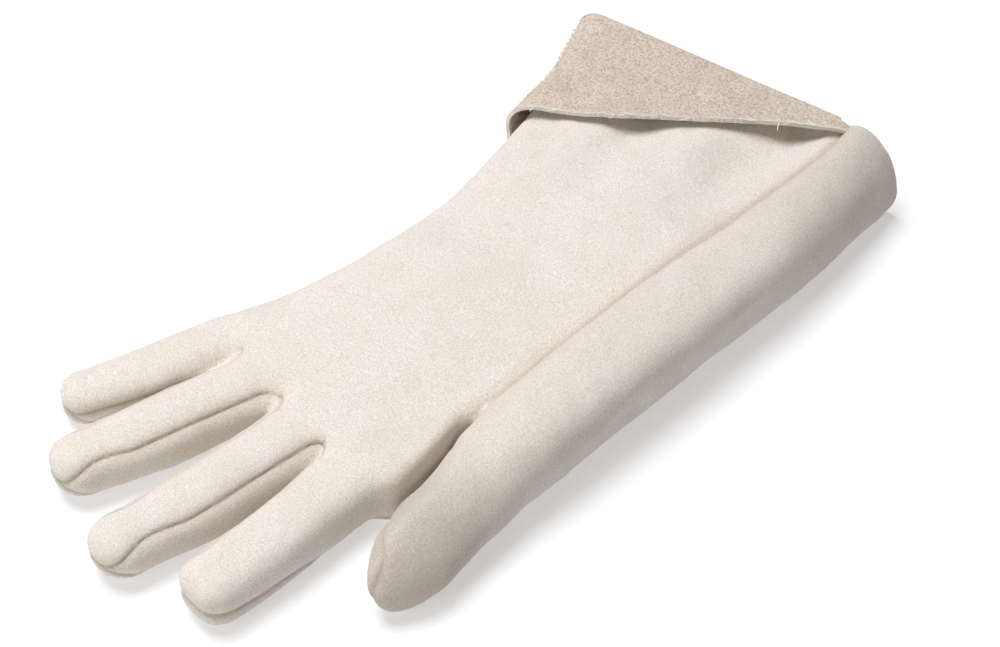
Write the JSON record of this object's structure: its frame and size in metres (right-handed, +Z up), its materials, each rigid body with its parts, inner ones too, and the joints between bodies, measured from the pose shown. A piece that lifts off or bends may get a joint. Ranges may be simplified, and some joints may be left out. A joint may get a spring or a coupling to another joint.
{
  "type": "insulated gauntlet glove",
  "caption": "Insulated cream suede gauntlet glove for handling very cold things, with box-cut fingers, a long side panel running into the thumb, and a turned-back cuff.",
  "frame": {"origin": "on the surface the glove lies on, under the middle of its bounding box", "axes": "+Z up, +Y from the fingertips to the cuff, +X towards the thumb side; the palm faces down"},
  "size_m": [0.1894, 0.3984, 0.046],
  "materials": {
    "cream_suede": "matte napped suede, cream",
    "rough_suede": "matte rough flesh side, mottled tan",
    "insulating_lining": "matte fleece"
  },
  "bodies": {
    "gauntlet": {"gauntlet_back_panel": "cream_suede", "gauntlet_lining": "insulating_lining", "gauntlet_palm_panel": "cream_suede", "gauntlet_side_panel": "cream_suede", "cuff_palm_turnback": "rough_suede", "wrist_band": "cream_suede"},
    "cuff_flap": {"cuff_back_turnback": "rough_suede"},
    "hand": {"hand_back_panel": "cream_suede", "hand_lining": "insulating_lining", "hand_palm_panel": "cream_suede", "hand_side_panel": "cream_suede", "index_knuckle_band": "cream_suede", "middle_knuckle_band": "cream_suede", "ring_knuckle_band": "cream_suede", "pinky_knuckle_band": "cream_suede", "thumb_knuckle_band": "cream_suede"},
    "index_proximal": {"index_proximal_back": "cream_suede", "index_proximal_lining": "insulating_lining", "index_proximal_palm": "cream_suede", "index_proximal_sidewall": "cream_suede", "index_bend_band": "cream_suede"},
    "index_distal": {"index_distal_back": "cream_suede", "index_distal_lining": "insulating_lining", "index_distal_palm": "cream_suede", "index_distal_sidewall": "cream_suede"},
    "middle_proximal": {"middle_proximal_back": "cream_suede", "middle_proximal_lining": "insulating_lining", "middle_proximal_palm": "cream_suede", "middle_proximal_sidewalls": "cream_suede", "middle_bend_band": "cream_suede"},
    "middle_distal": {"middle_distal_back": "cream_suede", "middle_distal_lining": "insulating_lining", "middle_distal_palm": "cream_suede", "middle_distal_sidewalls": "cream_suede"},
    "ring_proximal": {"ring_proximal_back": "cream_suede", "ring_proximal_lining": "insulating_lining", "ring_proximal_palm": "cream_suede", "ring_proximal_sidewalls": "cream_suede", "ring_bend_band": "cream_suede"},
    "ring_distal": {"ring_distal_back": "cream_suede", "ring_distal_lining": "insulating_lining", "ring_distal_palm": "cream_suede", "ring_distal_sidewalls": "cream_suede"},
    "pinky_proximal": {"pinky_proximal_back": "cream_suede", "pinky_proximal_lining": "insulating_lining", "pinky_proximal_palm": "cream_suede", "pinky_proximal_sidewall": "cream_suede", "pinky_bend_band": "cream_suede"},
    "pinky_distal": {"pinky_distal_back": "cream_suede", "pinky_distal_lining": "insulating_lining", "pinky_distal_palm": "cream_suede", "pinky_distal_sidewall": "cream_suede"},
    "thumb_proximal": {"thumb_proximal_inner": "cream_suede", "thumb_proximal_lining": "insulating_lining", "thumb_proximal_outer": "cream_suede", "thumb_bend_band": "cream_suede"},
    "thumb_distal": {"thumb_distal_inner": "cream_suede", "thumb_distal_lining": "insulating_lining", "thumb_distal_outer": "cream_suede"}
  },
  "joints": [
    {"name": "wrist", "type": "hinge", "parent": "gauntlet", "child": "hand", "pos_m": [0, 0.015, 0.02], "axis": [1, 0, 0], "range_deg": [-40, 40], "deforming": ["wrist_band"]},
    {"name": "cuff_fold", "type": "hinge", "parent": "gauntlet", "child": "cuff_flap", "pos_m": [-0.02, 0.17087, 0.0423], "axis": [-0.965, -0.2622, 0], "range_deg": [0, 120]},
    {"name": "index_knuckle", "type": "hinge", "parent": "hand", "child": "index_proximal", "pos_m": [0.03362, -0.104, 0.01558], "axis": [0.9999, 0.0122, 0], "range_deg": [-25, 60], "deforming": ["index_knuckle_band"]},
    {"name": "index_bend", "type": "hinge", "parent": "index_proximal", "child": "index_distal", "pos_m": [0.03412, -0.14498, 0.01465], "axis": [0.9999, 0.0122, 0], "range_deg": [0, 60], "deforming": ["index_bend_band"]},
    {"name": "middle_knuckle", "type": "hinge", "parent": "hand", "child": "middle_proximal", "pos_m": [0.0002, -0.10645, 0.01604], "axis": [0.9959, -0.0906, 0], "range_deg": [-25, 60], "deforming": ["middle_knuckle_band"]},
    {"name": "middle_bend", "type": "hinge", "parent": "middle_proximal", "child": "middle_distal", "pos_m": [-0.00424, -0.15524, 0.01486], "axis": [0.9959, -0.0906, 0], "range_deg": [0, 60], "deforming": ["middle_bend_band"]},
    {"name": "ring_knuckle", "type": "hinge", "parent": "hand", "child": "ring_proximal", "pos_m": [-0.0356, -0.10701, 0.01508], "axis": [0.9707, -0.2402, 0], "range_deg": [-25, 60], "deforming": ["ring_knuckle_band"]},
    {"name": "ring_bend", "type": "hinge", "parent": "ring_proximal", "child": "ring_distal", "pos_m": [-0.04569, -0.14777, 0.01418], "axis": [0.9707, -0.2402, 0], "range_deg": [0, 60], "deforming": ["ring_bend_band"]},
    {"name": "pinky_knuckle", "type": "hinge", "parent": "hand", "child": "pinky_proximal", "pos_m": [-0.06467, -0.10092, 0.01306], "axis": [0.9361, -0.3518, 0], "range_deg": [-25, 60], "deforming": ["pinky_knuckle_band"]},
    {"name": "pinky_bend", "type": "hinge", "parent": "pinky_proximal", "child": "pinky_distal", "pos_m": [-0.07627, -0.1318, 0.01218], "axis": [0.9361, -0.3518, 0], "range_deg": [0, 60], "deforming": ["pinky_bend_band"]},
    {"name": "thumb_swing", "type": "hinge", "parent": "hand", "child": "thumb_proximal", "pos_m": [0.07404, -0.05355, 0.01894], "axis": [0, 0, 1], "range_deg": [0, 35], "deforming": ["thumb_knuckle_band"]},
    {"name": "thumb_bend", "type": "hinge", "parent": "thumb_proximal", "child": "thumb_distal", "pos_m": [0.0768, -0.0894, 0.0171], "axis": [0.9971, 0.0767, 0], "range_deg": [0, 45], "deforming": ["thumb_bend_band"]}
  ]
}
